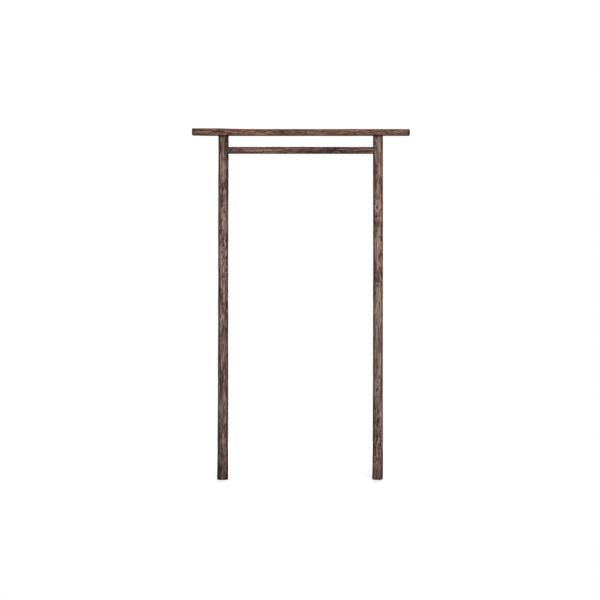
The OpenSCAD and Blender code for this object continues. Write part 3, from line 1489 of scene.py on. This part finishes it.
@dataclass
class WoodScrew:
    """A coarse-threaded wood screw with a countersunk head and a cross recess.

    Args:
        node: The part of the frame that it stands for.
        lean: Its lean from upright about the Y axis, in degrees.
        head_width: The width of its head.
        head_height: The height of its conical head.
        rim: The thickness of the head's edge.
        shank_width: The width over its thread.
        core_width: The width between its threads.
        thread_pitch: The distance between two turns of its thread.
        point: The length of its point.
    """

    node: str
    lean: float
    head_width: float = 0.010
    head_height: float = 0.004
    rim: float = 0.0008
    shank_width: float = 0.005
    core_width: float = 0.0034
    thread_pitch: float = 0.0026
    point: float = 0.008

    COLUMNS = 28
    ROW_PITCH = 0.00052
    POINT_RADIUS = 0.0004
    CAD_POINT_RADIUS = 0.0005
    HOLE_FIT = 0.0002
    HOLE_ABOVE = 0.03
    THREAD_SHARE = 0.24
    THREAD_END = 0.001
    RIM_BEVEL = 0.0002
    HEAD_MIDDLE = 0.04
    RECESS_ARM = (0.26, 0.055)
    RECESS_LEVELS = ((-0.0026, 0.45), (0.001, 1.15))
    RECESS_BOTTOM = -0.0028

    def build(self, steel: bpy.types.Material) -> bpy.types.Object:
        """Build the screw and set it in its place.

        Args:
            steel: Its finish.

        Returns:
            The finished screw.
        """
        length = self._length()
        ends = (np.array([0.0, 0.0, -length]), np.zeros(3))
        skin = Skin(self._loops(length), ends, (0, 5), 1)
        screw = skin.piece(f"{self.node}_threaded", steel)
        recess = self._recess(steel)
        cut_from(screw, recess)
        baked_down(screw, recess)
        leant(screw, self.place(), self.lean)
        return screw

    def place(self) -> Vector:
        """Return the middle of its head's top.

        Returns:
            The place, in the frame.
        """
        low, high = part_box(self.node)
        lean = math.radians(self.lean)
        head = self.head_width / 2
        middle = (low.x + high.x) / 2
        if self.lean > 0:
            middle = high.x - head * math.cos(lean)
        elif self.lean < 0:
            middle = low.x + head * math.cos(lean)
        return Vector((middle, (low.y + high.y) / 2, high.z - head * abs(math.sin(lean))))

    def bore(self, patch: int) -> Bore:
        """Return the hole that takes it.

        Args:
            patch: The spare place in the flat map that the hole's wall uses.

        Returns:
            The hole.
        """
        head = self.head_width / 2 + self.HOLE_FIT
        shank = self.shank_width / 2 + self.HOLE_FIT
        profile = (
            (shank, -self._length() - self.HOLE_FIT),
            (shank, -self.head_height - self.HOLE_FIT),
            (head, -self.rim),
            (head, self.HOLE_ABOVE),
        )
        return Bore(self.node, tuple(self.place()), self.lean, profile, patch)

    def _length(self) -> float:
        """Return the screw's length, from the height of its box.

        Returns:
            The length.
        """
        low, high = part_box(self.node)
        lean = math.radians(self.lean)
        proud = (self.head_width / 2 + self.CAD_POINT_RADIUS) * abs(math.sin(lean))
        return (high.z - low.z - proud) / math.cos(lean)

    def _loops(self, length: float) -> list[np.ndarray]:
        """Stack the loops from the tip up the thread to the middle of the head.

        Args:
            length: The screw's length.

        Returns:
            The loops.
        """
        angle = np.arange(self.COLUMNS) * (FULL_TURN / self.COLUMNS)
        core, crest = self.core_width / 2, self.shank_width / 2
        neck = -self.head_height
        loops = []
        for height in [-length, *steps(-length, neck - self.THREAD_END, self.ROW_PITCH)]:
            sharpened = min(1.0, (height + length) / self.point)
            turns = (height / self.thread_pitch - angle / FULL_TURN) % 1.0
            thread = np.clip(1 - np.abs(turns - 0.5) / self.THREAD_SHARE, 0.0, 1.0)
            radius = (core + (crest - core) * thread) * sharpened
            loops.append(ring_of(np.maximum(radius, self.POINT_RADIUS), height, self.COLUMNS))
        head = self.head_width / 2
        for share in steps(0.0, 1.0, 0.25):
            height = neck + (self.head_height - self.rim) * share
            loops.append(ring_of(crest + (head - crest) * share, height, self.COLUMNS))
        loops.append(ring_of(head, -self.RIM_BEVEL, self.COLUMNS))
        for share in steps(0.0, 1.0, 0.2):
            reach = (head - self.RIM_BEVEL) * (1.0 - (1 - self.HEAD_MIDDLE) * share)
            loops.append(ring_of(reach, 0.0, self.COLUMNS))
        return loops

    def _recess(self, steel: bpy.types.Material) -> bpy.types.Object:
        """Make the cutter for the cross recess, narrowing as it goes down.

        Args:
            steel: The screw's finish.

        Returns:
            The cutter.
        """
        wide, thin = (self.head_width * share for share in self.RECESS_ARM)
        outline = []
        for quarter in range(4):
            cos, sin = math.cos(quarter * math.pi / 2), math.sin(quarter * math.pi / 2)
            for x, y in ((wide, -thin), (wide, thin), (thin, thin)):
                outline.append((x * cos - y * sin, x * sin + y * cos))
        loops = [
            np.array([(x * share, y * share, height) for x, y in outline])
            for height, share in self.RECESS_LEVELS
        ]
        top = self.RECESS_LEVELS[-1][0]
        ends = (np.array([0.0, 0.0, self.RECESS_BOTTOM]), np.array([0.0, 0.0, top]))
        return Skin(loops, ends, (0, 0), 1).piece(f"{self.node}_recess", steel)


@dataclass
class Studio:
    """A plain pale floor, soft lights and the camera.

    Args:
        eye: Where the camera stands.
        lens: Its focal length, in millimetres.
        floor_width: The width of the floor.
        floor_colour: The floor's colour.
        floor_glow: The glow that keeps the floor pale in the shadows.
        sky_glow: The strength of the soft light from all round.
        lamps: Each lamp's name, bearing from the front, height, strength and softness.
    """

    eye: tuple[float, float, float] = (0.527, -9.4, 1.231)
    lens: float = 82.2
    floor_width: float = 5.0
    floor_colour: Colour = (0.90, 0.90, 0.90)
    floor_glow: float = 0.38
    sky_glow: float = 0.07
    lamps: tuple[tuple[str, float, float, float, float], ...] = (
        ("key", 12.0, 26.0, 3.1, 14.0),
        ("fill", -20.0, 14.0, 0.20, 20.0),
        ("back", 176.0, 40.0, 2.2, 30.0),
    )

    FLOOR_DROP = 0.0002
    FAR = 1000.0

    def build(self) -> None:
        """Set the stage."""
        self._floor()
        for lamp in self.lamps:
            self._sun(*lamp)
        self._sky()
        self._camera()
        bpy.context.scene.view_settings.view_transform = "Standard"

    def _floor(self) -> None:
        """Lay the floor."""
        half = self.floor_width / 2
        corners = [(-half, -half), (half, -half), (half, half), (-half, half)]
        mesh = bpy.data.meshes.new("floor")
        points = [(self.eye[0] + x, y, -self.FLOOR_DROP) for x, y in corners]
        mesh.from_pydata(points, [], [(0, 1, 2, 3)])
        material, bench = new_material("pale_floor")
        bench.surface(
            {
                "Base Color": (*self.floor_colour, 1.0),
                "Roughness": 0.9,
                "Specular IOR Level": 0.1,
                "Emission Color": (1.0, 1.0, 1.0, 1.0),
                "Emission Strength": self.floor_glow,
            }
        )
        mesh.materials.append(material)
        floor = in_scene("floor", mesh)

    @staticmethod
    def _sun(name: str, bearing: float, height: float, strength: float, softness: float) -> None:
        """Hang one soft, distant light.

        Args:
            name: The light's name.
            bearing: Its direction, in degrees round from the front towards the right.
            height: Its height over the horizon, in degrees.
            strength: Its strength.
            softness: How wide it looks, in degrees.
        """
        light = bpy.data.lights.new(name, "SUN")
        light.energy = strength
        light.angle = math.radians(softness)
        turn, lift = math.radians(bearing), math.radians(height)
        towards = Vector(
            (math.sin(turn) * math.cos(lift), -math.cos(turn) * math.cos(lift), math.sin(lift))
        )
        in_scene(name, light).rotation_euler = towards.to_track_quat("Z", "Y").to_euler()

    def _sky(self) -> None:
        """Show a white backdrop, and light the scene from it only faintly."""
        world = bpy.data.worlds.new("backdrop")
        bpy.context.scene.world = world
        world.use_nodes = True
        world.node_tree.nodes.clear()
        bench = Bench(world.node_tree)
        seen = bench.node("ShaderNodeLightPath").outputs["Is Camera Ray"]
        glow = Signal(bench, seen) * (1 - self.sky_glow) + self.sky_glow
        white = (1.0, 1.0, 1.0, 1.0)
        sky = bench.node("ShaderNodeBackground", None, {"Color": white, "Strength": glow})
        bench.node("ShaderNodeOutputWorld", None, {"Surface": sky.outputs[0]})

    def _camera(self) -> None:
        """Stand the camera up, level, looking along +Y."""
        camera = in_scene("camera", bpy.data.cameras.new("camera"))
        camera.location = self.eye
        camera.rotation_euler = (math.pi / 2, 0.0, 0.0)
        camera.data.lens = self.lens
        camera.data.clip_end = self.FAR
        bpy.context.scene.camera = camera


SCREWS = (
    WoodScrew("left_rail_screw", 45.0),
    WoodScrew("right_rail_screw", -45.0),
    WoodScrew("left_lintel_screw", 0.0),
    WoodScrew("right_lintel_screw", 0.0),
)
LEFT_POST = LogPost(
    node="left_post",
    piece_name="left_log_post",
    slot="left_post_wood",
    finish=ScorchedCedar(
        "left_post_cedar",
        # The last stops paint shade on the head, under the lintel.
        shades=(
            (0.0, 0.30), (0.10, 0.38), (0.22, 0.47), (0.40, 0.54), (0.60, 0.58), (0.80, 0.72),
            (1.10, 0.96), (1.30, 0.90), (1.52, 1.0), (1.84, 0.97), (1.98, 0.86), (2.12, 0.93),
            (2.25, 0.84), (2.34, 0.66),
        ),
        # Painted shade on the head, under the lintel.
        soot_and_shade=((2.335, 2.358),),
    ),
    timber_seed=1.0,
    diameter=0.0704,
    outer_swell=0.0053,
    inner_swell=0.0004,
    heavy_side=180.0,
    neck_slim=0.0006,
    head_swell=0.0008,
    foot_round=0.003,
    line=(
        (0.0, 0.5, 1.2, 1.8, 2.15, 2.36),
        (-0.0010, -0.0011, -0.0004, 0.0005, 0.0021, 0.0024),
        (0.0003, 0.0006, 0.0009, 0.0006, 0.0002, 0.0),
    ),
    rail_side=1,
    knots=(
        Knot(0.235, -52.0, 0.013, glow=0.20),
        Knot(0.52, 70.0, 0.010),
        Knot(0.80, 190.0, 0.012),
        Knot(1.10, 20.0, 0.009),
        Knot(1.44, -62.0, 0.011, 0.008, 0.018, 0.34),
        Knot(1.565, -100.0, 0.009, glow=0.16),
        Knot(1.84, -70.0, 0.012, glow=0.24),
        Knot(2.02, 120.0, 0.010),
    ),
)
RIGHT_POST = LogPost(
    node="right_post",
    piece_name="right_log_post",
    slot="right_post_wood",
    finish=ScorchedCedar(
        "right_post_cedar",
        deep=(0.046, 0.026, 0.020),
        body=(0.156, 0.092, 0.072),
        pale=(0.284, 0.196, 0.164),
        bright=(0.470, 0.352, 0.274),
        damp=(1.0, 0.82, 0.82),
        # The last stops paint shade on the head, under the lintel.
        shades=(
            (0.0, 0.38), (0.09, 0.44), (0.22, 0.58), (0.50, 0.63), (0.78, 0.68), (0.92, 0.63),
            (1.06, 0.86), (1.22, 0.96), (1.46, 1.0), (1.70, 1.0), (1.98, 1.0), (2.20, 0.94),
            (2.34, 0.70),
        ),
        # Painted shade on the head, under the lintel.
        soot_and_shade=((2.335, 2.358),),
    ),
    timber_seed=2.0,
    diameter=0.0682,
    outer_swell=0.0060,
    inner_swell=0.0002,
    heavy_side=180.0,
    neck_slim=0.0002,
    head_swell=0.0002,
    foot_round=0.007,
    line=(
        (0.0, 0.6, 1.3, 1.9, 2.36),
        (0.0, -0.0003, 0.0, 0.0002, 0.0002),
        (0.0, -0.0006, -0.0008, -0.0004, 0.0),
    ),
    rail_side=-1,
    knots=(
        Knot(0.142, -108.0, 0.008),
        Knot(0.24, -60.0, 0.015, 0.007, 0.018, 0.26),
        Knot(0.615, -110.0, 0.012, glow=0.20),
        Knot(0.95, 60.0, 0.011),
        Knot(1.28, 175.0, 0.010),
        Knot(1.60, 15.0, 0.009),
        Knot(1.865, -104.0, 0.014, 0.007, 0.020, 0.22),
        Knot(2.12, 95.0, 0.010),
    ),
)
TIE_RAIL = TieRail(
    finish=ScorchedCedar(
        "tie_rail_cedar",
        deep=(0.028, 0.0137, 0.0097),
        body=(0.086, 0.0445, 0.0338),
        pale=(0.166, 0.103, 0.081),
        bright=(0.312, 0.220, 0.178),
        blush=(1.24, 0.84, 0.78),
        blushing=0.9,
        mossing=0.2,
        chilling=0.3,
        # Painted shade: the rail's upper side, under the lintel, is nearly black.
        top_shade=(0.05, 0.045, 0.045),
    ),
    knots=(
        Knot(0.26, 200.0, 0.008, 0.005, 0.010),
        Knot(0.53, 120.0, 0.007, 0.005, 0.010),
        Knot(0.80, 190.0, 0.008, 0.005, 0.010),
    ),
)
LINTEL = Lintel(
    finish=ScorchedCedar(
        "lintel_cedar",
        deep=(0.045, 0.0202, 0.0144),
        body=(0.118, 0.0565, 0.0368),
        pale=(0.201, 0.112, 0.078),
        bright=(0.316, 0.203, 0.143),
        blush=(1.24, 0.86, 0.80),
        moss=(0.99, 1.01, 0.70),
        blushing=0.8,
        mossing=0.8,
        chilling=0.1,
        dashes=0.26,
        streaks=0.54,
        soot_and_shade=((0.013, 0.003), (1.473, 1.483)),
    ),
    knots=(Knot(0.66, 176.0, 0.012), Knot(1.12, 186.0, 0.009)),
)


def main() -> None:
    """Build the gate's pieces in order, then the studio, and report each piece."""
    logging.basicConfig(level=logging.INFO, format="%(name)s: %(message)s")
    for post in (LEFT_POST, RIGHT_POST):
        reported(post.build(), post.node)
    reported(TIE_RAIL.build(), TieRail.NODE)
    reported(LINTEL.build(), Lintel.NODE)
    steel = BronzedSteel().dress()
    for screw in SCREWS:
        reported(screw.build(steel), screw.node)
    Studio().build()


if __name__ == "__main__":
    main()
